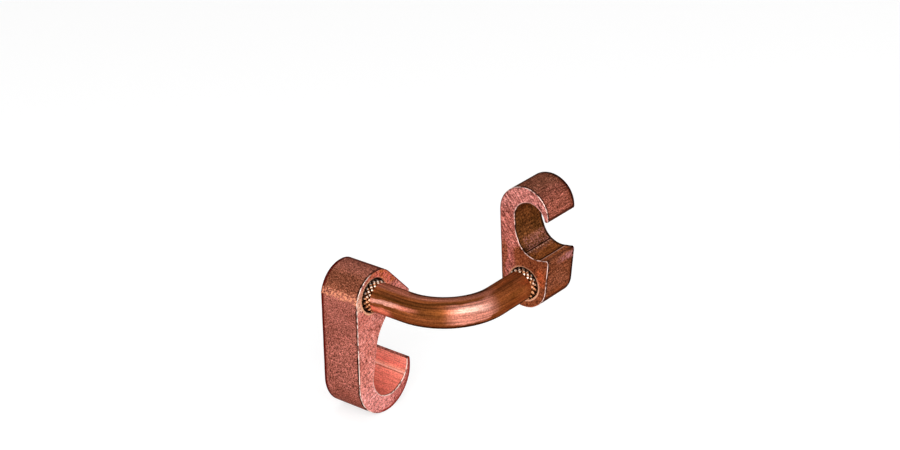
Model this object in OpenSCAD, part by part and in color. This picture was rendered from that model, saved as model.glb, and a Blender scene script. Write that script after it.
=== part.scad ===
// Compression connector for a copper ground grid.
// Two hook taps, sawn from extruded copper bar, sit on the ends of one bent copper rod.
// The rod's ends are knurled, pass through the taps and are headed over on the outer faces.
//
// The origin is the centre of the larger jaw at mid width. +X runs along that jaw's cable,
// towards the bend. +Z is up: the larger hook hangs below the rod and the smaller one stands above it.
//
// A tap is drawn in its own plane, with the rod's axis at [0, 0]. The first coordinate runs from the
// flat back towards the mouth, and the second from the rod towards the jaw.

/* [Rod] */
// Diameter of the drawn copper rod
rod_d = 12.7; // [10:0.1:16]
// Radius of the bend, on the rod's centre line
bend_r = 25; // [18:0.5:36]
// Straight run from the larger tap to the bend
larger_run = 17.5; // [8:0.5:40]
// Straight run from the smaller tap to the bend
smaller_run = 19.5; // [8:0.5:40]
// Diameter of the headed ends
head_d = 14.8; // [13.8:0.1:18]
// Height of the headed ends over the taps' outer faces
head_h = 1.5; // [0.8:0.1:3]
// Bevel round the headed ends
head_bevel = 0.5; // [0.2:0.1:0.8]

/* [Knurl] */
// Number of diamonds round the rod
knurl_count = 18; // [12:1:30]
// Length of one diamond along the rod
knurl_pitch = 2.6; // [2:0.1:3.4]
// Rows of whole diamonds along the rod
knurl_rows = 2; // [2:1:5]
// Height of the crests over the plain rod
knurl_rise = 0.3; // [0.1:0.05:0.5]
// Depth of the grooves under the plain rod
knurl_depth = 0.35; // [0.1:0.05:0.6]
// Length of the knurl that shows outside the bore
knurl_show = 3; // [1:0.1:5]

/* [Bores] */
// Clearance round the rod in the taps' bores
fit_gap = 0.05; // [0.02:0.01:0.2]
// Width of the open ring round the knurl at the larger tap's mouth
larger_mouth_gap = 0.75; // [0.2:0.05:1.2]
// Width of the open ring round the knurl at the smaller tap's mouth
smaller_mouth_gap = 0.4; // [0.2:0.05:1.2]
// Depth of the open rings
mouth_depth = 1.5; // [0.5:0.1:3]
// Bevel round the bores' mouths
mouth_bevel = 0.35; // [0.2:0.05:0.8]

/* [Larger tap] */
// Width along the cable
larger_width = 19.2; // [12:0.1:30]
// Diameter of the jaw
larger_jaw_d = 21.6; // [18:0.1:26]
// Distance from the rod to the jaw's centre
larger_reach = 38.9; // [36:0.1:46]
// Offset of the jaw's centre from the rod, towards the mouth
larger_offset = 8.7; // [6:0.1:11]
// Wall behind the jaw
larger_back_wall = 8.9; // [6.5:0.1:11]
// Wall at the end of the hook
larger_crown_wall = 6.8; // [5:0.1:9]
// How far the end of the hook lies behind the jaw's centre
larger_crown_shift = 2.5; // [1.5:0.1:3.5]
// Wall at the hook's tip
larger_tip_wall = 2.2; // [1.2:0.1:4]
// How far the tip passes the jaw's centre
larger_tip_past = 0.5; // [-3:0.1:4]
// Wall over the rod's bore
larger_end_wall = 3.6; // [2.5:0.05:6]
// Distance from the rod's axis to the flat back
larger_back = 10.8; // [9.8:0.1:12.5]
// Height over the rod's axis at which the flat back ends in a corner
larger_corner = 0.3; // [-1:0.1:3]
// How far the end's round from the corner levels out in front of the rod's axis
larger_brow_shift = 1.6; // [0.5:0.1:3]
// Flat on the end, between the corner's round and the slope's
larger_end_flat = 0.8; // [0.2:0.1:2.5]
// Radius of the throat above the jaw
larger_throat_r = 20.6; // [18:0.1:24]
// Distance from the rod's axis to the top of the throat
larger_throat_rise = 7.75; // [6.5:0.05:10]
// How far the throat's back lies in front of the jaw's back
larger_throat_shift = 2.3; // [0.5:0.1:4]
// Distance from the rod's axis to the end of the lip
larger_lip_reach = 22.3; // [18:0.1:25]
// Radius of the seat rolled into the throat under the lip
larger_seat_r = 16; // [13:0.1:18]
// How far the seat's centre lies behind the throat's
larger_seat_shift = 0.5; // [0.2:0.1:1.2]

/* [Smaller tap] */
// Width along the cable
smaller_width = 18.5; // [12:0.1:30]
// Diameter of the jaw
smaller_jaw_d = 15.1; // [12.5:0.1:18]
// Distance from the rod to the jaw's centre
smaller_reach = 29.3; // [27:0.1:36]
// Offset of the jaw's centre from the rod, towards the mouth
smaller_offset = 3.1; // [1.5:0.1:5]
// Wall behind the jaw
smaller_back_wall = 7.3; // [5.5:0.1:9]
// Wall at the end of the hook
smaller_crown_wall = 6.3; // [4.5:0.1:8]
// How far the end of the hook lies behind the jaw's centre
smaller_crown_shift = 2.3; // [1.5:0.1:3]
// Wall at the hook's tip
smaller_tip_wall = 1.6; // [1:0.1:3]
// How far the tip passes the jaw's centre
smaller_tip_past = -2; // [-4:0.1:2]
// Wall under the rod's bore
smaller_end_wall = 4; // [2.5:0.05:6]
// Distance from the rod's axis to the flat back
smaller_back = 10.9; // [9.8:0.1:12.5]
// Depth under the rod's axis at which the flat back ends in a corner
smaller_corner = 1.5; // [-0.5:0.1:3.5]
// How far the end's round from the corner levels out in front of the rod's axis
smaller_brow_shift = 0.1; // [0:0.1:2]
// Flat on the end, between the corner's round and the front's
smaller_end_flat = 0.2; // [0.1:0.1:2]
// Radius of the throat below the jaw
smaller_throat_r = 12.1; // [10.5:0.1:14.5]
// Distance from the rod's axis to the bottom of the throat
smaller_throat_rise = 12.75; // [11:0.05:15]
// How far the throat's back lies in front of the jaw's back
smaller_throat_shift = 0.2; // [0.1:0.1:2]
// Distance from the rod's axis to the end of the lip
smaller_lip_reach = 12.3; // [10.8:0.1:14]
// Radius of the seat rolled into the throat over the lip
smaller_seat_r = 9.4; // [8:0.1:10.2]
// How far the seat's centre lies behind the throat's
smaller_seat_shift = 1.7; // [1:0.1:2.2]

/* [Edges] */
// Radius of the lips
lip_r = 1.3; // [0.8:0.1:1.8]
// How far the seat is rolled below the throat
seat_depth = 0.3; // [0.15:0.01:0.5]
// How far the inside of each tip is relieved behind the jaw's round
tip_relief = 0.08; // [0.02:0.01:0.2]
// Angle, round the jaw from its mouth, at which the relief starts
relief_angle = 30; // [20:1:45]

/* [Hidden] */
$fn = 96;

rod_r = rod_d / 2;
crest_r = rod_r + knurl_rise;
root_r = rod_r - knurl_depth;
bore_r = crest_r + fit_gap;
knurl_len = knurl_rows * knurl_pitch;
// Depth of the crests under the plain rod's surface at the knurl's ends
knurl_sink = knurl_rise / 6;
// Cuts run this far past the faces they open
over = 1;
// Straight edges lie this far inside the rounds that they run into
tuck = 0.004;
// The throat cuts this far into the lips' rounds
lip_cut = 0.15;

// The rod's axis and its corner, in the part's frame
axis_y = -larger_offset;
axis_z = larger_reach;
larger_face_x = larger_width / 2;
corner_x = larger_face_x + larger_run + bend_r;
smaller_face_y = axis_y + bend_r + smaller_run;

larger_colour = [0.72, 0.42, 0.33];
smaller_colour = [0.66, 0.37, 0.28];
rod_colour = [0.62, 0.33, 0.2];

// Point on a circle
function on_circle(centre, r, a) = centre + r * [cos(a), sin(a)];

// Direction of the line that touches two circles on one side: 1 is the back and -1 the mouth
function touch_angle(c1, r1, c2, r2, side) =
    let (d = c2 - c1)
    atan2(d.y, d.x) + side * acos((r1 - r2) / norm(d));

// Second coordinate of a circle's near side, at the first coordinate p
function near_side(centre, r, p) = centre.y - sqrt(r * r - pow(p - centre.x, 2));

// First coordinate of a circle's mouth side, at the second coordinate q
function mouth_side(centre, r, q) = centre.x + sqrt(r * r - pow(q - centre.y, 2));

// Round disc at a point
module disc(centre, r) {
    translate(centre) circle(r = r);
}

// Part of a disc on one side of its centre: -1 is the back and 1 the mouth
module half_disc(centre, r, side) {
    intersection() {
        disc(centre, r);
        translate(centre + [(side - 1) * r, -2 * r]) square([2 * r, 4 * r]);
    }
}

// Cross-section of a hook tap
module tap_profile(jaw_d, reach, offset, back_wall, crown_wall, crown_shift, tip_wall, tip_past, end_wall, back,
                   corner_rise, brow_shift, end_flat, throat_r, throat_rise, throat_shift, lip_reach, seat_r,
                   seat_shift) {
    jaw_r = jaw_d / 2;
    jaw = [offset, reach];
    // The hook's end: a flatter round runs from it to the back and a tighter one to the tip
    crown = [offset - crown_shift, reach + jaw_r + crown_wall];
    heel_r = crown.x - (offset - jaw_r - back_wall);
    heel = crown - [0, heel_r];
    toe_r = offset + jaw_r + tip_wall - crown.x;
    toe = crown - [0, toe_r];
    // The rod's end: a flat round runs from the back's corner to the flat on the end
    end_r = bore_r + end_wall;
    end = [0, 0];
    corner = [-back, -corner_rise];
    brow_drop = end_r - corner_rise;
    brow_r = (pow(brow_shift + back, 2) + pow(brow_drop, 2)) / (2 * brow_drop);
    brow = [brow_shift, brow_r - end_r];
    shoulder = [brow_shift + end_flat, 0];
    throat = [offset - jaw_r + throat_shift + throat_r, throat_rise + throat_r];
    seat = [throat.x - seat_shift, throat_rise - seat_depth + seat_r];
    lip_p = lip_reach - lip_r;
    lip = [lip_p, near_side(throat, throat_r, lip_p) - lip_r + lip_cut];
    tip_q = reach - tip_past;
    tip_in = mouth_side(jaw, jaw_r + tip_relief, tip_q);
    tip_out = mouth_side(toe, toe_r, tip_q);
    back_a = touch_angle(corner, 0, heel, heel_r, 1);
    front_a = touch_angle(shoulder, end_r, lip, lip_r, -1);
    wall_a = touch_angle(throat, throat_r, jaw, jaw_r, 1);
    reach_all = reach + jaw_d + crown_wall;

    difference() {
        union() {
            intersection() {
                disc(brow, brow_r);
                translate([-2 * back, -2 * end_r]) square([2 * back + brow_shift, 2 * end_r - corner_rise]);
            }
            disc(shoulder, end_r);
            half_disc(heel, heel_r, -1);
            half_disc(toe, toe_r, 1);
            disc(lip, lip_r);
            // Body between the rounds; the plain angles lie halfway round them
            polygon([
                corner,
                on_circle(brow, brow_r - tuck, 225),
                [brow_shift, tuck - end_r],
                [shoulder.x, tuck - end_r],
                shoulder,
                on_circle(shoulder, end_r - tuck, front_a),
                on_circle(lip, lip_r - tuck, front_a),
                lip,
                on_circle(toe, toe_r - tuck, 45),
                crown - [0, tuck],
                on_circle(heel, heel_r - tuck, 135),
                on_circle(heel, heel_r - tuck, back_a)
            ]);
        }
        disc(end, bore_r);
        disc(jaw, jaw_r);
        // Relief inside the tip
        intersection() {
            disc(jaw, jaw_r + tip_relief);
            polygon([
                jaw,
                [jaw.x + jaw_d, tip_q],
                on_circle(jaw, jaw_d, relief_angle)
            ]);
        }
        // Throat and rolled seat, open at the mouth down to the tip
        intersection() {
            union() {
                disc(throat, throat_r);
                disc(seat, seat_r);
            }
            translate([-reach_all, -reach_all]) square([3 * reach_all, reach_all + tip_q]);
        }
        // Straight back wall between the throat and the jaw
        polygon([
            [throat.x, tip_q],
            jaw,
            on_circle(jaw, jaw_r - tuck, wall_a),
            on_circle(throat, throat_r - tuck, wall_a)
        ]);
    }
    disc([(tip_in + tip_out) / 2, tip_q], (tip_out - tip_in) / 2);
}

// Opening of a bore towards the bend, at z = 0
module bore_mouth(gap) {
    mouth_r = crest_r + gap;
    translate([0, 0, -over]) cylinder(r = mouth_r, h = over + mouth_depth);
    translate([0, 0, -over])
        cylinder(r1 = mouth_r + mouth_bevel + over, r2 = mouth_r, h = over + mouth_bevel);
}

module larger_tap() {
    color(larger_colour)
    translate([larger_face_x, axis_y, axis_z]) rotate([-90, 0, 0]) rotate([0, -90, 0])
    difference() {
        linear_extrude(larger_width)
            tap_profile(larger_jaw_d, larger_reach, larger_offset, larger_back_wall, larger_crown_wall,
                        larger_crown_shift, larger_tip_wall, larger_tip_past, larger_end_wall, larger_back,
                        larger_corner, larger_brow_shift, larger_end_flat, larger_throat_r,
                        larger_throat_rise, larger_throat_shift, larger_lip_reach, larger_seat_r,
                        larger_seat_shift);
        bore_mouth(larger_mouth_gap);
    }
}

module smaller_tap() {
    color(smaller_colour)
    translate([corner_x, smaller_face_y, axis_z]) mirror([0, 1, 0]) rotate([90, 0, 0])
    difference() {
        linear_extrude(smaller_width)
            tap_profile(smaller_jaw_d, smaller_reach, smaller_offset, smaller_back_wall, smaller_crown_wall,
                        smaller_crown_shift, smaller_tip_wall, smaller_tip_past, smaller_end_wall, smaller_back,
                        smaller_corner, smaller_brow_shift, smaller_end_flat, smaller_throat_r,
                        smaller_throat_rise, smaller_throat_shift, smaller_lip_reach, smaller_seat_r,
                        smaller_seat_shift);
        bore_mouth(smaller_mouth_gap);
    }
}

// Band of pyramids between crossing grooves, from z = 0 upwards.
// Every second point of a ring is a crest, and the rings take turns.
// On the first and last ring the crests stay just under the plain rod's surface.
module knurl_band() {
    points_round = 2 * knurl_count;
    rings = 2 * knurl_rows;
    function high(ring, i) = (ring + i) % 2 == 1;
    function high_r(ring) = ring % rings == 0 ? rod_r - knurl_sink : crest_r;
    function at(ring, i) = ring * points_round + i % points_round;
    points = [
        for (ring = [0 : rings], i = [0 : points_round - 1])
            let (r = high(ring, i) ? high_r(ring) : root_r, a = 360 * i / points_round)
            [r * cos(a), r * sin(a), ring * knurl_pitch / 2]
    ];
    sides = [
        for (ring = [0 : rings - 1], i = [0 : points_round - 1])
            let (a = at(ring, i), b = at(ring, i + 1), c = at(ring + 1, i + 1), d = at(ring + 1, i))
            each high(ring, i) ? [[a, d, b], [b, d, c]] : [[a, c, b], [a, d, c]]
    ];
    centres = [[0, 0, 0], [0, 0, knurl_len]];
    lower_centre = len(points);
    upper_centre = lower_centre + 1;
    ends = [
        for (i = [0 : points_round - 1])
            each [[lower_centre, at(0, i), at(0, i + 1)], [upper_centre, at(rings, i + 1), at(rings, i)]]
    ];
    polyhedron(concat(points, centres), concat(sides, ends));
}

// Knurled and headed end of the rod. z = 0 is the tap's inner face and the tap lies above it.
module rod_end(run, width) {
    knurl_from = -knurl_show;
    knurl_to = knurl_len - knurl_show;
    translate([0, 0, -run]) cylinder(r = rod_r, h = run + knurl_from);
    translate([0, 0, knurl_from]) knurl_band();
    translate([0, 0, knurl_to]) cylinder(r = crest_r, h = width - knurl_to);
    translate([0, 0, width]) cylinder(d = head_d, h = head_h - head_bevel);
    translate([0, 0, width + head_h - head_bevel])
        cylinder(d1 = head_d, d2 = head_d - 2 * head_bevel, h = head_bevel);
}

module bent_rod() {
    color(rod_colour)
    union() {
        translate([larger_face_x, axis_y, axis_z]) rotate([0, -90, 0]) rod_end(larger_run, larger_width);
        translate([corner_x - bend_r, axis_y + bend_r, axis_z]) rotate([0, 0, -90])
            rotate_extrude(angle = 90) translate([bend_r, 0]) circle(r = rod_r);
        translate([corner_x, smaller_face_y, axis_z]) rotate([-90, 0, 0]) rod_end(smaller_run, smaller_width);
    }
}

larger_tap();
smaller_tap();
bent_rod();
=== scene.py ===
import math
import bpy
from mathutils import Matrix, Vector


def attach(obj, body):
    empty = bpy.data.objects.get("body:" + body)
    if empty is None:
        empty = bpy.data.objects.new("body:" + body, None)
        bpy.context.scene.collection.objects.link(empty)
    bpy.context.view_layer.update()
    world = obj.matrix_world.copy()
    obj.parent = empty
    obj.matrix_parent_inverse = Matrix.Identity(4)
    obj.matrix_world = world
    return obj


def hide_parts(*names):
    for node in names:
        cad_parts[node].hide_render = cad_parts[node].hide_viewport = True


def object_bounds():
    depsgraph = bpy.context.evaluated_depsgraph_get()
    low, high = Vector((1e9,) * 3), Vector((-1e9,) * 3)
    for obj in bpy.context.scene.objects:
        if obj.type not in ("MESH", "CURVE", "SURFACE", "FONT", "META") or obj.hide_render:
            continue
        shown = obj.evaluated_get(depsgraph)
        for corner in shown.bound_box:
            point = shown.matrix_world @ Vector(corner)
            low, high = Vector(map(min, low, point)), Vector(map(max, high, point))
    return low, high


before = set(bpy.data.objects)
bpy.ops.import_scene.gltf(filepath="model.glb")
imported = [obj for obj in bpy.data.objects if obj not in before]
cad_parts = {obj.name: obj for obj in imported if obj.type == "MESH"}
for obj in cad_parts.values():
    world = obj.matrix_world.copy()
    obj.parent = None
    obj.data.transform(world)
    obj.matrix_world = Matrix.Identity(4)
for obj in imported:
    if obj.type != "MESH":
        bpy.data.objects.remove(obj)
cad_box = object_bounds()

from types import SimpleNamespace
import bpy
import bmesh
import numpy as np
from mathutils import Euler, Matrix, Vector, noise
from mathutils.geometry import delaunay_2d_cdt

MM = 0.001
TAU = 2 * math.pi
QUARTER = TAU / 4
BOTTOM = 3 * QUARTER
UP = Vector((0, 0, 1))

# Sizes in millimetres, with the names they have in the part's source
ROD_D = 12.7
BEND_R = 25.0
LARGER_RUN = 17.5
SMALLER_RUN = 19.5
HEAD_D = 14.8
HEAD_H = 1.5
HEAD_BEVEL = 0.5
KNURL_COUNT = 18
KNURL_PITCH = 2.6
KNURL_ROWS = 2
KNURL_RISE = 0.3
KNURL_DEPTH = 0.35
KNURL_SHOW = 3.0
FIT_GAP = 0.05
MOUTH_DEPTH = 1.5
MOUTH_BEVEL = 0.35
LIP_R = 1.3
LIP_CUT = 0.15
SEAT_DEPTH = 0.3
TIP_RELIEF = 0.08
RELIEF_ANGLE = math.radians(30)

ROD_R = ROD_D / 2
HEAD_R = HEAD_D / 2
CREST_R = ROD_R + KNURL_RISE
ROOT_R = ROD_R - KNURL_DEPTH
BORE_R = CREST_R + FIT_GAP
KNURL_LEN = KNURL_ROWS * KNURL_PITCH
BEND_LEN = BEND_R * QUARTER
ROD_LEN = LARGER_RUN + BEND_LEN + SMALLER_RUN

# Sizes of the dressing alone
RELIEF_RUN = 0.25  # length over which the tip's relief starts
DIE_DEPTH = 0.14  # groove of the die line
DIE_HALF = 0.024  # half its width, in radians round the throat
ARRIS_R = (0.22, 0.2)  # on the face towards the bend and on the outer face
ARRIS_STRAY = 0.45  # share by which an arris wanders
ARRIS_WAVE = 0.22  # waves in a millimetre
ARRIS_APART = 7  # step of the noise from one face to the other
MOUTH_ROUND = ((1.0, 0.0), (0.45, 0.35), (0.0, 1.1))  # shares of the bevel outwards and inwards
HEAD_RING = 1.2  # outer ring of the head's flat
KNURL_GROOVE = 0.18  # share of half a diamond that is groove
KNURL_FLANK = 0.55  # share that is flank
KNURL_FADE = 0.5  # length over which the crests fade towards the plain rod
KNURL_LEAST = 0.3  # share of a crest that is left there
KNURL_RUNOUT = ((0.02, 0.12), (0.15, 0.03), (0.35, 0.0))  # length past the knurl, depth under the rod

# Fineness of the meshes, in millimetres, radians or counts
ARC_STEP = 0.4
STRAIGHT_STEP = 1.2
SAME_POINT = 0.02
THROAT_FINER = 1.5
LIP_SEARCH = 0.005
DIE_STEP = 0.01
DIE_STEPS = 4
ARRIS_STEPS = 4
WALL_STEPS = 14
BORE_SIDES = 96
BEVEL_STEPS = 3
KNURL_STEPS = 42
PLAIN_STEPS = 110
ROD_SIDES = 192
LEAST_MITRE = 0.6
TAP_SHARP = math.radians(28)
ROD_SHARP = math.radians(50)
FACE_EPSILON = 1e-7
HOLE_SHARE = 0.9999

# Surfaces of a tap and of the rod, which are their materials in order
SKIN, SAWN, INSIDE, ARRIS, MOUTH, RIM = range(6)
PLAIN, KNURL, HEAD = range(3)


# Form of a tap
def toward(a):
    return np.array([math.cos(a), math.sin(a)])


def turn_of(d):
    return math.atan2(d[1], d[0])


def from_low(a, low):
    """The same angle, within one turn above low."""
    return low + (a - low) % TAU


def touch_angle(c1, r1, c2, r2, side):
    """Direction of the line that touches two circles: side 1 is the back and -1 the mouth."""
    d = c2 - c1
    return turn_of(d) + side * math.acos((r1 - r2) / np.hypot(*d))


def tap_form(**sizes):
    """A tap's sizes, with the centres and radii of its outline worked out from them. In the tap's plane p
    runs from the bore's axis towards the open side and q towards the hook; w runs from the face towards
    the bend to the outer face."""
    t = SimpleNamespace(**sizes)
    t.jaw_r = t.jaw_d / 2
    t.mouth_r = CREST_R + t.mouth_gap
    t.jaw = np.array([t.offset, t.reach])
    crown = np.array([t.offset - t.crown_shift, t.reach + t.jaw_r + t.crown_wall])
    t.heel_r = crown[0] - (t.offset - t.jaw_r - t.back_wall)
    t.toe_r = t.offset + t.jaw_r + t.tip_wall - crown[0]
    t.heel = crown - (0, t.heel_r)
    t.toe = crown - (0, t.toe_r)
    t.end_r = BORE_R + t.end_wall
    t.corner_at = np.array([-t.back, -t.corner])
    drop = t.end_r - t.corner
    t.brow_r = ((t.brow_shift + t.back) ** 2 + drop ** 2) / (2 * drop)
    t.brow = np.array([t.brow_shift, t.brow_r - t.end_r])
    t.shoulder = np.array([t.brow_shift + t.end_flat, 0.0])
    t.throat = np.array([t.offset - t.jaw_r + t.throat_shift + t.throat_r, t.throat_rise + t.throat_r])
    t.seat = np.array([t.throat[0] - t.seat_shift, t.throat_rise - SEAT_DEPTH + t.seat_r])
    lip_p = t.lip_reach - LIP_R
    lip_q = t.throat[1] - math.sqrt(t.throat_r ** 2 - (lip_p - t.throat[0]) ** 2) - LIP_R + LIP_CUT
    t.lip = np.array([lip_p, lip_q])
    t.tip_q = t.reach - t.tip_past
    t.front = from_low(touch_angle(t.shoulder, t.end_r, t.lip, LIP_R, -1), BOTTOM)
    t.behind = from_low(touch_angle(t.corner_at, 0, t.heel, t.heel_r, 1), 0)
    return t


LARGER = tap_form(
    width=19.2, reach=38.9, offset=8.7, mouth_gap=0.75,
    jaw_d=21.6, back_wall=8.9, crown_wall=6.8, crown_shift=2.5, tip_wall=2.2, tip_past=0.5,
    back=10.8, corner=0.3, brow_shift=1.6, end_wall=3.6, end_flat=0.8,
    throat_r=20.6, throat_rise=7.75, throat_shift=2.3, lip_reach=22.3, seat_r=16.0, seat_shift=0.5,
    die_line=None)
SMALLER = tap_form(
    width=18.5, reach=29.3, offset=3.1, mouth_gap=0.4,
    jaw_d=15.1, back_wall=7.3, crown_wall=6.3, crown_shift=2.3, tip_wall=1.6, tip_past=-2.0,
    back=10.9, corner=1.5, brow_shift=0.1, end_wall=4.0, end_flat=0.2,
    throat_r=12.1, throat_rise=12.75, throat_shift=0.2, lip_reach=12.3, seat_r=9.4, seat_shift=1.7,
    die_line=math.radians(237))

AXIS_Y = -LARGER.offset
AXIS_Z = LARGER.reach
LARGER_FACE_X = LARGER.width / 2
CORNER_X = LARGER_FACE_X + LARGER_RUN + BEND_R
SMALLER_FACE_Y = AXIS_Y + BEND_R + SMALLER_RUN


def place_larger(p, q, w):
    """Place of a point of the larger tap, which hangs below the rod."""
    return Vector((LARGER_FACE_X - w, AXIS_Y + p, AXIS_Z - q)) * MM


def place_smaller(p, q, w):
    """Place of a point of the smaller tap, which stands above the rod."""
    return Vector((CORNER_X + p, SMALLER_FACE_Y + w, AXIS_Z + q)) * MM


# Outline of a tap
def floor_r(t, a):
    """Distance from the throat's centre to the throat's or the seat's wall, whichever is farther."""
    d = t.seat - t.throat
    k = float(toward(a) @ d)
    return max(t.throat_r, k + math.sqrt(max(k * k - d @ d + t.seat_r ** 2, 0)))


def lip_stop(t):
    """Angle at which the throat or the seat cuts the lip's round."""
    a = t.front
    while True:
        d = t.lip + LIP_R * toward(a) - t.throat
        if np.hypot(*d) < floor_r(t, turn_of(d)):
            return a
        a += LIP_SEARCH


def throat_floor(t, start, wall):
    """Floor of the throat from the lip to the straight wall behind the jaw, with its die line."""
    line = t.die_line
    n = math.ceil((start - wall) * t.throat_r / ARC_STEP * THROAT_FINER)
    angles = [start + (wall - start) * i / n for i in range(1, n + 1)]
    if line:
        angles = [a for a in angles if abs(a - line) > DIE_STEPS * DIE_STEP]
        angles += [line + k * DIE_STEP for k in range(-DIE_STEPS, DIE_STEPS + 1)]
        angles.sort(reverse=True)
    points = []
    for a in angles:
        groove = DIE_DEPTH * max(0.0, 1 - abs(a - line) / DIE_HALF) if line else 0.0
        points.append((t.throat + (floor_r(t, a) + groove) * toward(a), INSIDE))
    return points


def filled(out):
    """The outline without double points and with its straights divided."""
    pts = []
    for i, (pt, surface) in enumerate(out):
        if pt is not None:
            if not pts or np.hypot(*(pt - pts[-1][0])) > SAME_POINT:
                pts.append((pt, surface))
            continue
        a, b = pts[-1][0], out[(i + 1) % len(out)][0]
        n = max(1, math.ceil(np.hypot(*(b - a)) / STRAIGHT_STEP))
        pts.extend((a + (b - a) * k / n, surface) for k in range(1, n))
    if np.hypot(*(pts[0][0] - pts[-1][0])) < SAME_POINT:
        pts.pop()
    return pts


def tap_outline(t):
    """Closed outline, counter-clockwise in (p, q), as [(point, surface)]."""
    in_r = t.jaw_r + TIP_RELIEF
    tip_in = t.jaw[0] + math.sqrt(in_r ** 2 - (t.tip_q - t.jaw[1]) ** 2)
    tip_out = t.toe[0] + math.sqrt(t.toe_r ** 2 - (t.tip_q - t.toe[1]) ** 2)
    tip = np.array([(tip_in + tip_out) / 2, t.tip_q])
    wall = from_low(touch_angle(t.throat, t.throat_r, t.jaw, t.jaw_r, 1), 0)
    out = []

    def arc(c, r, a0, a1, surface):
        n = max(2, math.ceil(abs(a1 - a0) * r / ARC_STEP))
        out.extend((c + r * toward(a0 + (a1 - a0) * i / n), surface) for i in range(n + 1))

    def straight(surface):
        """A straight has no point of its own: it is divided once its end is known."""
        out.append((None, surface))

    arc(t.brow, t.brow_r, from_low(turn_of(t.corner_at - t.brow), 0), BOTTOM, SKIN)
    straight(SKIN)
    arc(t.shoulder, t.end_r, BOTTOM, t.front, SKIN)
    straight(SKIN)
    arc(t.lip, LIP_R, t.front, lip_stop(t), SKIN)
    out.extend(throat_floor(t, from_low(turn_of(out[-1][0] - t.throat), QUARTER), wall))
    straight(INSIDE)
    arc(t.jaw, t.jaw_r, wall, RELIEF_ANGLE, INSIDE)
    arc(t.jaw, in_r, RELIEF_ANGLE - RELIEF_RUN / t.jaw_r, math.asin((t.tip_q - t.jaw[1]) / in_r), INSIDE)
    arc(tip, (tip_out - tip_in) / 2, -math.pi, 0, SKIN)
    arc(t.toe, t.toe_r, turn_of((tip_out, t.tip_q) - t.toe), QUARTER, SKIN)
    arc(t.heel, t.heel_r, QUARTER, t.behind, SKIN)
    straight(SKIN)
    return filled(out)


def outline_normals(pts):
    """Normals out of the metal, mitred at corners."""
    out = []
    for i in range(len(pts)):
        a, b, c = pts[i - 1][0], pts[i][0], pts[(i + 1) % len(pts)][0]
        before, after = (b - a) / np.hypot(*(b - a)), (c - b) / np.hypot(*(c - b))
        first = np.array([before[1], -before[0]])
        mid = first + np.array([after[1], -after[0]])
        mid /= np.hypot(*mid)
        out.append(mid / max(LEAST_MITRE, float(mid @ first)))
    return out


# Meshes
def join_rings(bm, rings, surface):
    """Quads between neighbouring rings; surface(k, i) is the material of quad i after ring k."""
    for k in range(len(rings) - 1):
        near, far = rings[k], rings[k + 1]
        for i in range(len(near)):
            j = (i + 1) % len(near)
            face = bm.faces.new((near[i], near[j], far[j], far[i]))
            face.smooth = True
            face.material_index = surface(k, i)


def to_object(bm, name, sharp):
    """Object of the finished mesh, with edges that turn by more than an angle left sharp."""
    bmesh.ops.recalc_face_normals(bm, faces=bm.faces)
    for e in bm.edges:
        if len(e.link_faces) == 2 and e.calc_face_angle() > sharp:
            e.smooth = False
    mesh = bpy.data.meshes.new(name)
    bm.to_mesh(mesh)
    bm.free()
    obj = bpy.data.objects.new(name, mesh)
    bpy.context.scene.collection.objects.link(obj)
    return obj


def wall_rings(t, vert, seed):
    """Rings across the tap's width with a rubbed arris along each face, and the outline's surfaces."""
    pts = tap_outline(t)
    normals = outline_normals(pts)

    def arris_r(p, q, face):
        """The arris is filed by hand, so its radius wanders a little."""
        stray = noise.noise(Vector((p * ARRIS_WAVE, q * ARRIS_WAVE, seed + ARRIS_APART * face)))
        return ARRIS_R[face] * (1 + ARRIS_STRAY * stray)

    def arris_ring(k, face):
        a = QUARTER * k / ARRIS_STEPS
        ring = []
        for (pt, surface), normal in zip(pts, normals):
            r = arris_r(*pt, face)
            p, q = pt - normal * r * (1 - math.sin(a))
            w = r * (1 - math.cos(a))
            ring.append(vert(p, q, t.width - w if face else w, surface))
        return ring

    rings = [arris_ring(k, 0) for k in range(ARRIS_STEPS + 1)]
    for k in range(1, WALL_STEPS):
        rings.append([vert(*pt, t.width * k / WALL_STEPS) for pt, _ in pts])
    rings += [arris_ring(k, 1) for k in range(ARRIS_STEPS, -1, -1)]
    return rings, [surface for _, surface in pts]


def bore_rings(t, vert):
    """Rings of the bore: bevelled mouth, open ring and bore to the outer face."""
    steps = [(t.mouth_r + MOUTH_BEVEL * out, MOUTH_BEVEL * deep) for out, deep in MOUTH_ROUND]
    steps += [(t.mouth_r, MOUTH_DEPTH), (BORE_R, MOUTH_DEPTH), (BORE_R, t.width)]
    turns = [TAU * i / BORE_SIDES for i in range(BORE_SIDES)]
    return [[vert(r * math.cos(a), r * math.sin(a), w) for a in turns] for r, w in steps]


def inside(point, outline):
    """True where a ray from the point crosses the outline an odd number of times."""
    x, y = point
    x0, y0 = outline[:, 0], outline[:, 1]
    x1, y1 = np.roll(x0, -1), np.roll(y0, -1)
    crossed = (y0 > y) != (y1 > y)
    with np.errstate(divide="ignore", invalid="ignore"):
        at = x0 + (y - y0) * (x1 - x0) / (y1 - y0)
    return bool(np.count_nonzero(crossed & (x < at)) % 2)


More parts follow.
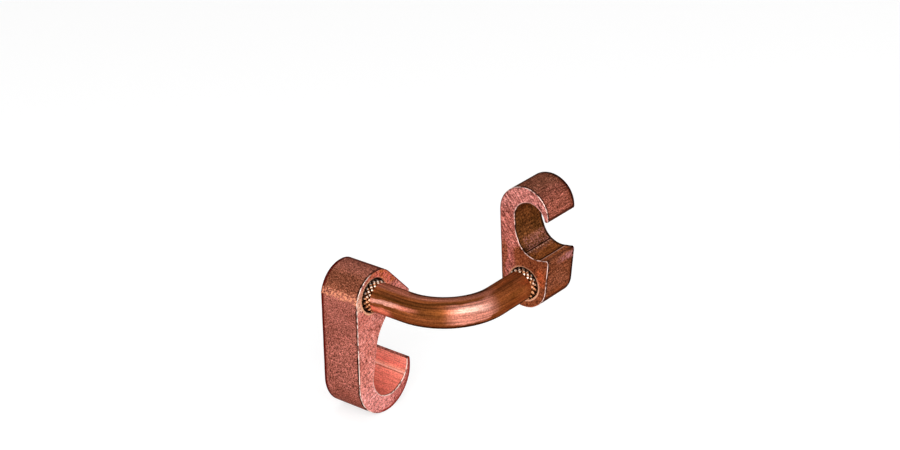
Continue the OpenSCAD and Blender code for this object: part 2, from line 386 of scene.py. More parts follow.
def sawn_face(bm, layer, outer, hole):
    """Flat face between an outer ring and the bore's ring; the layer holds their p and q."""
    loop = outer + hole
    co = [v[layer].xy for v in loop]
    n = len(outer)
    edges = [(i, (i + 1) % n) for i in range(n)]
    edges += [(n + i, n + (i + 1) % len(hole)) for i in range(len(hole))]
    _, _, faces, sources, _, _ = delaunay_2d_cdt(co, edges, [], 0, FACE_EPSILON)
    outline = np.array([c[:] for c in co[:n]])
    hole_r = np.hypot(*co[n]) * HOLE_SHARE
    for tri in faces:
        ids = [sources[v][0] for v in tri]
        centre = np.mean([co[i][:] for i in ids], axis=0)
        if np.hypot(*centre) >= hole_r and inside(centre, outline):
            bm.faces.new([loop[i] for i in ids]).material_index = SAWN


def make_tap(name, t, place, seed):
    """Dressed tap: outer wall, bore and two sawn faces."""
    bm = bmesh.new()
    tap_layer = bm.verts.layers.float_vector.new("tap")
    inner_layer = bm.verts.layers.float.new("inner")

    def vert(p, q, w, surface=SKIN):
        v = bm.verts.new(place(p, q, w))
        v[tap_layer] = Vector((p, q, w))
        v[inner_layer] = float(surface == INSIDE)
        return v

    wall, surfaces = wall_rings(t, vert, seed)
    bore = bore_rings(t, vert)
    far_arris = len(wall) - 1 - ARRIS_STEPS

    def wall_surface(k, i):
        return surfaces[i] if ARRIS_STEPS <= k < far_arris else ARRIS

    def bore_surface(k, _):
        return RIM if k < len(MOUTH_ROUND) - 1 else MOUTH

    join_rings(bm, wall, wall_surface)
    join_rings(bm, bore, bore_surface)
    sawn_face(bm, tap_layer, wall[0], bore[0])
    sawn_face(bm, tap_layer, wall[-1], bore[-1])
    return to_object(bm, name, TAP_SHARP)


def rod_frame(s):
    """Point and direction of the rod's axis at length s from the larger tap's inner face."""
    if s <= LARGER_RUN:
        return Vector((LARGER_FACE_X + s, AXIS_Y, AXIS_Z)), Vector((1, 0, 0))
    if s <= LARGER_RUN + BEND_LEN:
        a = (s - LARGER_RUN) / BEND_R
        centre = Vector((CORNER_X - BEND_R, AXIS_Y + BEND_R, AXIS_Z))
        out = Vector((math.sin(a), -math.cos(a), 0))
        return centre + BEND_R * out, Vector((math.cos(a), math.sin(a), 0))
    return Vector((CORNER_X, AXIS_Y + BEND_R + s - LARGER_RUN - BEND_LEN, AXIS_Z)), Vector((0, 1, 0))


def knurl_height(across, along):
    """0 in the grooves and 1 on the crests, from counts of diamonds round the rod and along it."""
    def ridge(x):
        return 2 * abs(x - math.floor(x + 0.5))

    flank = min(ridge(across + along), ridge(across - along))
    return min(1.0, max(0.0, (flank - KNURL_GROOVE) / KNURL_FLANK))


def knurl_at(s, share):
    """Radius and height of the knurl at length s and at a share of a turn."""
    out = min(s, ROD_LEN - s)
    height = knurl_height(KNURL_COUNT * share, out / KNURL_PITCH)
    fade = min(1.0, (KNURL_SHOW - out) / KNURL_FADE)
    return ROOT_R + (CREST_R - ROOT_R) * height * max(fade, KNURL_LEAST), height


def end_sections(face, out, width):
    """Sections (length, radius, surface) of one end, from the head's middle to the plain rod; out is -1
    or 1 along the length, and the knurl's sections have no radius of their own."""
    far = face + out * (width + HEAD_H)
    under = face + out * width
    deep = face + out * (KNURL_LEN - KNURL_SHOW)
    rows = [(far, HEAD_R - HEAD_BEVEL - HEAD_RING, HEAD)]
    for k in range(BEVEL_STEPS + 1):
        a = QUARTER * k / BEVEL_STEPS
        s = far - out * HEAD_BEVEL * (1 - math.cos(a))
        rows.append((s, HEAD_R - HEAD_BEVEL * (1 - math.sin(a)), HEAD))
    rows += [(under, HEAD_R, HEAD), (under, CREST_R, PLAIN), (deep, CREST_R, PLAIN)]
    for k in range(KNURL_STEPS + 1):
        rows.append((deep - out * KNURL_LEN * k / KNURL_STEPS, None, KNURL))
    for past, depth in KNURL_RUNOUT:
        rows.append((face - out * (KNURL_SHOW + past), ROD_R - depth, PLAIN))
    return rows


def make_rod(name):
    """Dressed rod, swept along its bent axis."""
    first = end_sections(0, -1, LARGER.width)
    last = end_sections(ROD_LEN, 1, SMALLER.width)
    start, stop = first[-1][0], last[-1][0]
    plain = [(start + (stop - start) * k / PLAIN_STEPS, ROD_R, PLAIN) for k in range(1, PLAIN_STEPS)]
    sections = first + plain + last[::-1]
    bm = bmesh.new()
    along_layer = bm.verts.layers.float.new("along")
    turn_layer = bm.verts.layers.float_vector.new("turn")
    crest_layer = bm.verts.layers.float.new("crest")

    def ring(s, r):
        centre, ahead = rod_frame(s)
        side = Vector((ahead.y, -ahead.x, 0))
        verts = []
        for i in range(ROD_SIDES):
            share = i / ROD_SIDES
            radius, height = (r, 1.0) if r else knurl_at(s, share)
            turn = Vector((math.cos(TAU * share), math.sin(TAU * share), 0))
            v = bm.verts.new((centre + (side * turn.x + UP * turn.y) * radius) * MM)
            v[along_layer] = s
            v[turn_layer] = turn
            v[crest_layer] = height
            verts.append(v)
        return verts

    def surface(k, _):
        pair = {sections[k][2], sections[k + 1][2]}
        if KNURL in pair:
            return KNURL
        return HEAD if pair == {HEAD} else PLAIN

    rings = [ring(s, r) for s, r, _ in sections]
    join_rings(bm, rings, surface)
    for cap in (rings[0], rings[-1]):
        bm.faces.new(cap).material_index = HEAD
    return to_object(bm, name, ROD_SHARP)


# Materials. Colours are linear red, green and blue, and places are in millimetres.
GLOSS = (1.0, 0.7, 0.55)  # tint of the gloss where the metal turns away
GLOSS_LEFT = 0.3  # share of it that is left there
BARE = 0.65  # metallic share of most surfaces
RUBBED = 0.6  # metallic share of arrises and knurl
BUMP_DEPTH = 0.1 * MM
MIX_FACTOR, MIX_FROM, MIX_TO, MIX_RESULT = 0, 6, 7, 2  # sockets of a colour mix


def scaled(color, k):
    return tuple(c * k for c in color)


class Nodes:
    """Short-hand for building one material's nodes; at is the place on the object."""

    def __init__(self, name):
        self.mat = bpy.data.materials.new(name)
        self.mat.use_nodes = True
        self.tree = self.mat.node_tree
        self.bsdf = next(x for x in self.tree.nodes if x.type == "BSDF_PRINCIPLED")
        place = self.node("ShaderNodeVectorMath", operation="SCALE")
        place.inputs["Scale"].default_value = 1 / MM
        self.put(place.inputs[0], self.node("ShaderNodeTexCoord").outputs["Object"])
        self.at = place.outputs[0]

    def put(self, socket, value):
        if isinstance(value, bpy.types.NodeSocket):
            self.tree.links.new(value, socket)
        else:
            socket.default_value = value

    def node(self, kind, **props):
        made = self.tree.nodes.new(kind)
        for key, value in props.items():
            setattr(made, key, value)
        return made

    def attribute(self, name, out="Vector"):
        return self.node("ShaderNodeAttribute", attribute_name=name).outputs[out]

    def join(self, x, y, z):
        made = self.node("ShaderNodeCombineXYZ")
        for socket, value in zip(made.inputs, (x, y, z)):
            self.put(socket, value)
        return made.outputs[0]

    def split(self, vec):
        made = self.node("ShaderNodeSeparateXYZ")
        self.put(made.inputs[0], vec)
        return made.outputs

    def calc(self, how, a, b=0.0):
        made = self.node("ShaderNodeMath", operation=how)
        self.put(made.inputs[0], a)
        self.put(made.inputs[1], b)
        return made.outputs[0]

    def chain(self, how, first, *others):
        for other in others:
            first = self.calc(how, first, other)
        return first

    def add(self, *terms):
        return self.chain("ADD", *terms)

    def mul(self, *factors):
        return self.chain("MULTIPLY", *factors)

    def less(self, a, b):
        return self.calc("SUBTRACT", a, b)

    def either(self, *masks):
        return self.chain("MAXIMUM", *masks)

    def slope(self, x, low, high):
        """0 below low and 1 above high, soft between; low may be the larger."""
        made = self.node("ShaderNodeMapRange", interpolation_type="SMOOTHSTEP")
        self.put(made.inputs["Value"], x)
        made.inputs["From Min"].default_value = low
        made.inputs["From Max"].default_value = high
        return made.outputs["Result"]

    def band(self, x, at, half, soft):
        """1 within half of at, falling to 0 over soft."""
        return self.slope(self.calc("ABSOLUTE", self.less(x, at)), half + soft, half)

    def noise(self, vec, scale=1.0, detail=3, rough=0.6):
        made = self.node("ShaderNodeTexNoise")
        self.put(made.inputs["Vector"], vec)
        made.inputs["Scale"].default_value = scale
        made.inputs["Detail"].default_value = detail
        made.inputs["Roughness"].default_value = rough
        return made.outputs["Fac"]

    def wander(self, x, width, scale, detail=3, rough=0.6):
        """x, moved to and fro by noise within a width."""
        return self.add(x, self.mul(self.less(self.noise(self.at, scale, detail, rough), 0.5), width))

    def ramp(self, fac, *stops):
        made = self.node("ShaderNodeValToRGB")
        elements = made.color_ramp.elements
        while len(elements) < len(stops):
            elements.new(0.5)
        for element, (position, tone) in zip(elements, stops):
            element.position = position
            element.color = (*tone, 1) if isinstance(tone, tuple) else (tone, tone, tone, 1)
        self.put(made.inputs["Fac"], fac)
        return made.outputs["Color"]

    def flecks(self, scale, low, high, least=0.0, rough=0.6):
        """Broken mask: at its least where noise is below low, and 1 where it is above high."""
        return self.ramp(self.noise(self.at, scale, rough=rough), (low, least), (high, 1.0))

    def streaks(self, fac, dark, light, spread):
        """Factor that is plain in the middle of a noise, and dark and light a spread off it."""
        return self.ramp(fac, (0.5 - spread, dark), (0.5, 1.0), (0.5 + spread, light))

    def rough(self, fac, low, high):
        """Roughness from the low to the high end of a noise."""
        return self.ramp(fac, (0.3, low), (0.7, high))

    def mix(self, fac, a, b, how="MIX"):
        made = self.node("ShaderNodeMix", data_type="RGBA", blend_type=how)
        for index, value in ((MIX_FACTOR, fac), (MIX_FROM, a), (MIX_TO, b)):
            self.put(made.inputs[index], (*value, 1) if isinstance(value, tuple) else value)
        return made.outputs[MIX_RESULT]

    def tint(self, color, tone, *masks):
        """Shades a colour towards a tone where all the masks hold."""
        return self.mix(self.mul(*masks), color, tone)

    def times(self, a, b, fac=1.0):
        return self.mix(fac, a, b, "MULTIPLY")

    def grain(self, color, scale, dark, light, even=0.04):
        """Speckle of dark pits and light flecks over a colour; even is half the share left plain."""
        speck = self.noise(self.at, scale, detail=2)
        stops = ((0.34, dark), (0.5 - even, 0.86), (0.5 + even, 1.08), (0.66, light))
        return self.times(color, self.ramp(speck, *stops)), speck

    def bump(self, height, strength, depth=BUMP_DEPTH):
        made = self.node("ShaderNodeBump")
        made.inputs["Strength"].default_value = strength
        made.inputs["Distance"].default_value = depth
        self.put(made.inputs["Height"], height)
        self.put(self.bsdf.inputs["Normal"], made.outputs["Normal"])

    def finish(self, color, rough, metallic, left=GLOSS_LEFT):
        """Bare metal; left is the share of its gloss where the metal turns away."""
        self.put(self.bsdf.inputs["Base Color"], color)
        self.put(self.bsdf.inputs["Roughness"], rough)
        self.bsdf.inputs["Metallic"].default_value = metallic
        self.bsdf.inputs["Specular IOR Level"].default_value = 0.0
        self.bsdf.inputs["Specular Tint"].default_value = (*scaled(GLOSS, left), 1)
        return self.mat


class TapNodes(Nodes):
    """Nodes of a tap's material, with the tap's own coordinates p, q and w."""

    def __init__(self, name):
        super().__init__(name)
        self.p, self.q, self.w = self.split(self.attribute("tap"))

    def lean(self, x, y):
        """How far a place lies in the direction of x and y, from the bore's axis."""
        return self.add(self.mul(self.p, x), self.mul(self.q, y))

    def beyond(self, point, angle):
        """Distance past a line through a point, in the direction of the angle."""
        way = toward(angle)
        return self.less(self.lean(*way), point @ way)

    def away(self, centre=(0.0, 0.0)):
        """Distance from a point in the plane of p and q."""
        x, y = self.less(self.p, centre[0]), self.less(self.q, centre[1])
        return self.calc("SQRT", self.add(self.mul(x, x), self.mul(y, y)))

    def drawn(self, across, along):
        """Coordinates for streaks along w."""
        return self.join(self.mul(self.p, across), self.mul(self.q, across), self.mul(self.w, along))

    def strokes(self, degrees, along, across):
        """Coordinates for strokes at an angle in the plane of p and q."""
        c, s = toward(math.radians(degrees))
        return self.join(self.lean(c * along, s * along), self.lean(-s * across, c * across), self.w)


class RodNodes(Nodes):
    """Nodes of the rod's material. Angles run round the rod in degrees: 0 is the outer side of the bend and
    90 the top. Lengths run along it from the larger tap, and past the middle of the bend."""

    def __init__(self, name):
        super().__init__(name)
        self.x, self.y, _ = self.split(self.attribute("turn"))
        self.angle = self.mul(self.calc("ARCTAN2", self.y, self.x), math.degrees(1))
        self.along = self.attribute("along", "Fac")
        self.past = self.less(self.along, LARGER_RUN + BEND_LEN / 2)


# Painted highlight on each bore's rim: its broadest side as shares of p and q, what is left on the other
# side, and how much broader it is
LARGER_RIM_LIGHT = SimpleNamespace(side=(-1.0, 0.0), least=0.1, broader=0.45)
SMALLER_RIM_LIGHT = SimpleNamespace(side=(1.0, -1.0), least=0.7, broader=0.25)


def rim_lit_share(m, uneven):
    """Share of the rim's painted highlight, from its least to 1 on its broadest side."""
    return m.add(m.mul(m.slope(m.lean(*uneven.side), -1.0, 5.0), 1.0 - uneven.least), uneven.least)


def rim_edge(m, color, t, uneven, tone):
    """Painted highlight along the edge of the bore's mouth on a sawn face."""
    edge = t.mouth_r + MOUTH_BEVEL
    broken = m.flecks(0.3, 0.36, 0.5, least=0.5)
    r = m.less(m.away(), m.mul(m.slope(m.lean(*uneven.side), -3.0, 8.0), uneven.broader))
    return m.tint(color, tone, m.slope(r, edge + 0.5, edge + 0.2), broken, rim_lit_share(m, uneven))


def jaw_edge(m, color, t, tone):
    """Painted highlight along the jaw's edge on a sawn face, broken in places."""
    broken = m.flecks(0.5, 0.4, 0.52, least=0.3)
    near = m.slope(m.away(t.jaw), t.jaw_r + 0.6, t.jaw_r + 0.3)
    return m.tint(color, tone, near, m.slope(m.q, t.reach - 4.0, t.reach), broken)


def skin_material(name, t, lines, low, high, far, regions):
    """Extruded skin from a low to a high tone. Lines is the strength of the drawn lines, far the tone of
    the painted shade along the far edge, and each region (axis, from, to, tone) shades the skin along p, q
    or w."""
    line_dark, line_light = (0.42, 0.42, 0.4), (1.7, 1.8, 2.0)
    pit, fleck = (0.1, 0.14, 0.14), (2.1, 2.25, 2.4)
    near = (0.035, 0.01, 0.007)
    m = TapNodes(name)
    color = m.ramp(m.noise(m.at, 0.11, rough=0.5), (0.36, low), (0.64, high))
    for axis, start, stop, tone in regions:
        color = m.tint(color, tone, m.slope(getattr(m, axis), start, stop))
    lined = m.streaks(m.noise(m.drawn(1.5, 0.22), rough=0.7), line_dark, line_light, 0.14)
    color = m.times(color, lined, lines)
    color, speck = m.grain(color, 1.9, pit, fleck)
    # Painted shade along both edges, in a broken line on the face towards the bend
    color = m.tint(color, near, m.band(m.w, 0.6, 0.3, 0.3), m.flecks(0.5, 0.42, 0.56, least=0.45))
    color = m.tint(color, far, m.slope(m.w, t.width - 1.8, t.width - 0.9))
    m.bump(speck, 0.4)
    return m, color, m.rough(speck, 0.6, 0.48)


def larger_skin():
    t = LARGER
    top, hook = -t.end_r, t.reach
    low, high, far = (0.35, 0.1, 0.07), (0.45, 0.138, 0.1), (0.12, 0.009, 0.006)
    brown, pale, shaded = (0.3, 0.088, 0.045), (0.45, 0.145, 0.095), (0.31, 0.1, 0.072)
    scuffed, painted_shade = (0.9, 0.35, 0.195), (0.12, 0.018, 0.012)
    m, color, rough = skin_material("larger_skin", t, 0.3, low, high, far, [
        ("q", -0.5, -4.0, brown),
        ("q", top + 2.3, top - 0.2, pale),
        ("q", hook + 4.1, hook + 11.1, shaded)])
    # Scuffed corner at the end of the flat back
    corner = m.band(m.wander(m.q, 5.0, 0.35, detail=4, rough=0.7), -t.corner - 1.2, 1.0, 1.4)
    back = m.slope(m.p, -t.back + 2.8, -t.back + 1.8)
    color = m.tint(color, scuffed, corner, back, m.flecks(0.8, 0.49, 0.57, rough=0.7))
    # Painted shade beside the shoulder and under the hook
    beside = m.slope(m.p, t.shoulder[0] + 1.4, t.shoulder[0] + 3.2)
    over = m.mul(beside, m.slope(m.q, top + 4.3, top + 2.3))
    under = m.slope(m.q, hook + 11.7, hook + 13.3)
    color = m.tint(color, painted_shade, m.either(over, under), 0.75)
    return m.finish(color, rough, BARE)


def smaller_skin():
    t = SMALLER
    hook = t.reach
    low, high, far = (0.22, 0.064, 0.028), (0.29, 0.091, 0.046), (0.035, 0.006, 0.004)
    pale, ruddy, shaded = (0.305, 0.102, 0.058), (0.32, 0.084, 0.026), (0.15, 0.042, 0.018)
    redder, worn, painted_shade = (1.12, 0.95, 1.05), (0.56, 0.22, 0.21), (0.05, 0.012, 0.005)
    m, color, rough = skin_material("smaller_skin", t, 0.8, low, high, far, [
        ("q", hook - 5.3, hook - 0.3, pale),
        ("q", 1.0, -8.0, ruddy),
        ("w", t.width - 4.5, t.width, shaded)])
    tip = m.mul(m.slope(m.q, hook - 5.3, hook - 0.3), m.slope(m.p, t.offset - 0.1, t.offset + 5.9))
    color = m.tint(color, m.times(color, redder), tip)
    # Rubbed far half of the lip
    lip = m.mul(m.band(m.q, t.lip[1] - 1.4, 0.8, 1.5), m.slope(m.w, 4.0, 14.0))
    color = m.tint(color, worn, lip, m.flecks(0.7, 0.44, 0.56, rough=0.7))
    # Painted shade under the end, along the tip and behind the crown
    end = m.mul(m.slope(m.q, -3.6, -5.4), m.slope(m.p, t.shoulder[0] + 2.7, t.shoulder[0] + 4.7))
    tip_edge = m.mul(m.slope(m.q, t.tip_q + 1.3, t.tip_q + 0.5), tip)
    heel_p, heel_q = t.heel
    crown = m.mul(m.slope(m.q, heel_q + 5.4, heel_q + 8.4), m.slope(m.p, heel_p - 3.4, heel_p - 5.4))
    color = m.tint(color, painted_shade, m.either(end, tip_edge, crown), 0.8)
    return m.finish(color, rough, BARE)


def larger_sawn():
    t = LARGER
    hook = t.reach
    low, high, pink = (0.68, 0.2, 0.152), (0.84, 0.285, 0.23), (0.86, 0.31, 0.27)
    brown, red = (0.6, 0.14, 0.05), (0.86, 0.21, 0.145)
    highlight, shaded, painted_shade = (1.0, 0.56, 0.4), (0.8, 0.67, 0.7), (0.3, 0.035, 0.025)
    pit, fleck = (0.06, 0.03, 0.03), (1.35, 2.0, 2.2)
    rim, jaw = (1.0, 0.56, 0.34), (1.0, 0.68, 0.6)
    m = TapNodes("larger_sawn")
    p, q, w = m.p, m.q, m.w
    color = m.ramp(m.noise(m.at, 0.12, rough=0.5), (0.35, low), (0.65, high))
    heel = m.mul(m.slope(q, hook - 2.9, hook + 7.1), m.slope(p, t.offset + 5.3, t.offset - 2.7))
    color = m.tint(color, pink, heel)
    # Patchy over the bore, a painted highlight at the corner of the back, shaded down the hook's far side
    patchy = m.ramp(m.noise(m.at, 0.4), (0.42, brown), (0.58, red))
    color = m.tint(color, patchy, m.band(q, -6.0, 3.0, 3.0), m.slope(p, -6.0, 0.0))
    corner = m.mul(m.band(p, -t.back + 1.4, 0.9, 1.6), m.band(q, -t.corner - 1.2, 3.5, 3.5))
    color = m.tint(color, highlight, corner, 0.9)
    toe = m.mul(m.slope(q, hook - 2.9, hook + 1.1), m.slope(p, t.offset - 2.7, t.offset + 3.3))
    color = m.tint(color, m.times(color, shaded), toe)
    # Scratches of the saw, and grain that is weaker on the outer face
    scratch = m.noise(m.strokes(-19, 0.2, 1.2))
    plain = m.times(color, m.streaks(scratch, 0.72, 1.3, 0.16), 0.8)
    color, speck = m.grain(plain, 1.5, pit, fleck, even=0.07)
    color = m.tint(color, plain, m.slope(w, 6.0, 12.0), 0.6)
    color = rim_edge(m, color, t, LARGER_RIM_LIGHT, rim)
    color = jaw_edge(m, color, t, jaw)
    # Painted shade along the outer edge of the hook and of the end
    edge = m.mul(m.slope(m.away(t.toe), t.toe_r - 1.6, t.toe_r - 0.8), m.slope(q, hook - 2.9, hook - 0.9))
    edge = m.mul(edge, m.slope(p, t.toe[0] - 7.2, t.toe[0] - 2.2))
    end = m.slope(m.beyond(t.shoulder, t.front), t.end_r - 0.8, t.end_r - 0.2)
    color = m.tint(color, painted_shade, m.add(edge, m.mul(end, m.slope(q, 8.0, 6.0))))
    m.bump(m.add(scratch, speck), 0.35)
    return m.finish(color, m.rough(speck, 0.62, 0.5), BARE)


def smaller_sawn():
    t = SMALLER
    hook, web = t.reach, t.throat_rise
    brown, ruddy, painted_shade = (0.31, 0.08, 0.031), (0.62, 0.14, 0.05), (0.14, 0.025, 0.018)
    pink, pale_pink = (0.565, 0.16, 0.12), (0.58, 0.187, 0.152)
    stroke_dark, stroke_plain, stroke_light = (0.34, 0.28, 0.26), (0.95, 0.95, 0.95), (1.5, 1.75, 1.85)
    pit, fleck = (0.15, 0.12, 0.12), (1.7, 2.0, 2.1)
    rim, jaw = (1.0, 0.52, 0.32), (0.86, 0.42, 0.36)
    m = TapNodes("smaller_sawn")
    p, q, w = m.p, m.q, m.w
    # The hook and the leg are pale; the web round the bore is browner, and so is the leg's outer edge
    above_web = m.either(m.less(q, web + 1.25), 0.0)
    pale = m.slope(m.wander(m.less(m.mul(above_web, 1.1), p), 4.0, 0.35), 3.6, 6.4)
    wedge = m.less(p, m.mul(m.band(q, web - 0.75, 2.0, 4.0), 1.4))
    edge = m.mul(m.slope(wedge, -t.back + 2.0, -t.back + 1.1), m.slope(q, web + 6.25, web + 2.25))
    pale = m.mul(pale, m.less(1.0, m.mul(edge, 0.8)))
    color = m.mix(pale, brown, m.mix(m.slope(q, hook - 1.3, hook + 5.7), pink, pale_pink))
    color = m.tint(color, ruddy, m.band(p, t.mouth_r + 1.55, 0.8, 2.0), m.band(q, 4.5, 2.0, 3.5))
    # Strokes of the file, and grain that is weaker on the outer face
    stroke = m.noise(m.strokes(-51, 0.16, 1.0), rough=0.65)
    marks = m.ramp(stroke, (0.36, stroke_dark), (0.47, stroke_plain), (0.6, stroke_light))
    plain = m.times(color, marks, m.add(m.mul(pale, 0.75), 0.15))
    color, speck = m.grain(plain, 1.5, pit, fleck, even=0.06)
    color = m.tint(color, plain, m.slope(w, 6.0, 12.0), 0.6)
    color = rim_edge(m, color, t, SMALLER_RIM_LIGHT, rim)
    color = jaw_edge(m, color, t, jaw)
    # Painted shade along the back and round the heel of the hook
    heel = m.mul(m.slope(q, t.heel[1] - 2.6, t.heel[1] + 1.4), m.slope(p, t.heel[0] + 1.2, t.heel[0] - 3.8))
    heel = m.mul(heel, m.slope(m.away(t.heel), t.heel_r - 0.75, t.heel_r - 0.25))
    back = m.slope(m.beyond(t.corner_at, t.behind), -0.74, -0.24)
    color = m.tint(color, painted_shade, m.either(heel, back), 0.75)
    m.bump(m.add(stroke, speck), 0.35)
    return m.finish(color, m.rough(speck, 0.62, 0.5), BARE)


def larger_inside():
    t = LARGER
    hook = t.reach
    rosy, red, light = (1.0, 0.3, 0.22), (0.86, 0.2, 0.147), (1.0, 0.36, 0.25)
    warm, deep, throat = (0.95, 0.25, 0.18), (0.8, 0.2, 0.14), (0.62, 0.19, 0.125)
    crease_dark, crease_light, dark = (0.45, 0.1, 0.06), (1.0, 0.5, 0.4), (0.1, 0.016, 0.01)
    pit, fleck = (0.75, 0.68, 0.68), (1.15, 1.25, 1.3)
    m = TapNodes("larger_inside")
    p, q, w = m.p, m.q, m.w
    down = m.slope(q, hook - 2.9, hook + 11.1)
    color = m.ramp(down, (0.1, rosy), (0.45, red), (0.6, light), (0.8, warm), (1.0, deep))
    color = m.tint(color, throat, m.slope(q, hook - 2.9, hook - 8.9))
    # Streaks of the extrusion, strongest between the throat and the bottom of the jaw
    streak = m.noise(m.drawn(1.5, 0.1), detail=4, rough=0.65)
    in_jaw = m.mul(m.slope(q, hook - 8.9, hook - 2.9), 0.5)
    at_bottom = m.mul(m.slope(q, hook + 5.6, hook + 7.1), -0.4)
    color = m.times(color, m.streaks(streak, 0.62, 1.3, 0.14), m.add(in_jaw, at_bottom, 0.4))
    # Painted shade and a painted highlight along the crease on the tip's side
    tip_side = m.slope(p, t.offset + 3.3, t.offset + 6.3)
    color = m.tint(color, crease_dark, m.band(q, hook + 6.0, 0.1, 0.2), tip_side, 0.7)
    color = m.tint(color, crease_light, m.band(q, hook + 5.5, 0.1, 0.25), tip_side, 0.8)
    color, speck = m.grain(color, 1.8, pit, fleck)
    # Painted shade along the far edge and the bottom's near edge
    near = m.mul(m.slope(w, 0.9, 0.4), m.slope(q, hook + 5.1, hook + 9.1))
    color = m.tint(color, dark, m.either(m.slope(w, t.width - 1.3, t.width - 0.6), near), 0.9)
    m.bump(streak, 0.2)
    return m.finish(color, m.rough(speck, 0.5, 0.42), metallic=0.05)


def die_line_wear_and_light(m, color, line_p, line_q, low_down):
    """Worn metal on both sides of the die line, and the line itself with painted shade in it and a painted
    highlight on its edge.
    """
    worn, dark, highlight = (0.37, 0.135, 0.1), (0.01, 0.004, 0.001), (0.7, 0.32, 0.22)
    above = m.mul(m.band(m.q, line_q + 2.1, 1.3, 1.6), m.slope(m.p, line_p + 2.1, line_p - 0.4), 0.9)
    below = m.mul(m.band(m.p, line_p + 1.1, 0.8, 1.2), m.slope(m.q, line_q + 1.9, line_q - 0.1), 0.6)
    flecks = m.flecks(1.1, 0.44, 0.54, rough=0.7)
    color = m.tint(color, worn, m.add(above, below), flecks, m.slope(m.w, 1.0, 5.0))
    color = m.tint(color, dark, m.band(m.p, line_p + 0.04, 0.15, 0.14), low_down)
    return m.tint(color, highlight, m.band(m.p, line_p + 0.64, 0.14, 0.25), low_down, flecks)


def smaller_inside():
    t = SMALLER
    line_p, line_q = t.throat + floor_r(t, t.die_line) * toward(t.die_line)
    lip = t.lip[0]
    low, high, floor = (0.113, 0.04, 0.012), (0.18, 0.059, 0.02), (0.44, 0.134, 0.038)
    land, land_dark, land_bright = (0.62, 0.19, 0.075), (0.05, 0.014, 0.004), (1.0, 0.6, 0.48)
    pit, fleck = (0.22, 0.22, 0.22), (2.0, 2.05, 2.1)
    shaded, dark = (0.3, 0.3, 0.3), (0.02, 0.006, 0.002)
    m = TapNodes("smaller_inside")
    p, q, w = m.p, m.q, m.w
    color = m.ramp(m.noise(m.at, 0.15, rough=0.5), (0.36, low), (0.64, high))
    on_floor = m.slope(q, line_q + 1.9, line_q - 0.6)
    color = m.tint(color, floor, on_floor, m.slope(p, line_p + 0.1, line_p + 2.1))
    streak = m.noise(m.drawn(1.3, 0.12), detail=4, rough=0.65)
    color = m.times(color, m.streaks(streak, 0.6, 1.5, 0.16))
    low_down = m.slope(q, line_q + 2.9, line_q + 1.4)
    color = die_line_wear_and_light(m, color, line_p, line_q, low_down)
    # Lighter land of the lip, with a line of painted shade before it and a painted highlight on its edge
    color = m.tint(color, land, m.slope(p, lip - 2.8, lip - 2.4))
    color = m.tint(color, land_dark, m.band(p, lip - 3.4, 0.35, 0.3), 0.85)
    color, speck = m.grain(color, 1.5, pit, fleck)
    color = m.tint(color, land_bright, m.band(p, lip - 2.5, 0.2, 0.15), 0.9)
    # Painted shade near the face towards the bend and along the edges
    color = m.tint(color, m.times(color, shaded), m.slope(w, 3.5, 0.5), low_down, 0.5)
    near = m.mul(m.slope(w, 1.1, 0.5), m.slope(q, line_q - 2.1, line_q + 0.9))
    color = m.tint(color, dark, m.either(m.slope(w, t.width - 1.9, t.width - 0.9), near), 0.9)
    m.bump(m.add(streak, speck), 0.25)
    return m.finish(color, m.rough(speck, 0.52, 0.42), BARE)


def arris_material(name, t, base, light, dark_p, bright_p):
    """Arris, dark as painted shade; on the face towards the bend a painted highlight, broken in places,
    inside and, outside, from one p to another.
    """
    m = TapNodes(name)
    uneven = m.noise(m.at, 0.6)
    # Painted highlight on the half towards the bend, broken by noise
    rubbed = m.mul(m.ramp(uneven, (0.4, 0.1), (0.52, 1.0)), m.slope(m.w, t.width * 0.6, t.width * 0.4))
    shown = m.either(m.attribute("inner", "Fac"), m.slope(m.p, dark_p, bright_p))
    m.bump(m.noise(m.at, 1.4, detail=2, rough=0.5), 0.2)
    return m.finish(m.mix(m.mul(rubbed, shown), base, light), m.rough(uneven, 0.5, 0.36), RUBBED)


def larger_arris():
    brown, white = (0.09, 0.02, 0.014), (1.0, 0.8, 0.7)
    return arris_material("larger_arris", LARGER, brown, white, dark_p=-0.5, bright_p=-3.5)


def smaller_arris():
    brown, white = (0.06, 0.02, 0.014), (1.0, 0.68, 0.6)
    back_p = -SMALLER.back
    return arris_material("smaller_arris", SMALLER, brown, white, dark_p=back_p + 1.4, bright_p=back_p + 2.4)


def mouth_material(name):
    """Painted shade inside a bore's mouth."""
    black, brown = (0.012, 0.005, 0.003), (0.06, 0.02, 0.008)
    m = Nodes(name)
    grit = m.noise(m.at, 1.2)
    return m.finish(m.ramp(grit, (0.4, black), (0.75, brown)), m.rough(grit, 0.6, 0.75), metallic=0.2)


def rim_material(name, uneven, low, high):
    """Bevel of a bore's mouth, with a painted highlight that is brighter on its broadest side."""
    m = TapNodes(name)
    mark = m.noise(m.at, 0.4)
    color = m.ramp(mark, (0.36, low), (0.58, high))
    color = m.mix(rim_lit_share(m, uneven), scaled(low, 0.5), color)
    return m.finish(color, m.rough(mark, 0.46, 0.36), metallic=0.4)


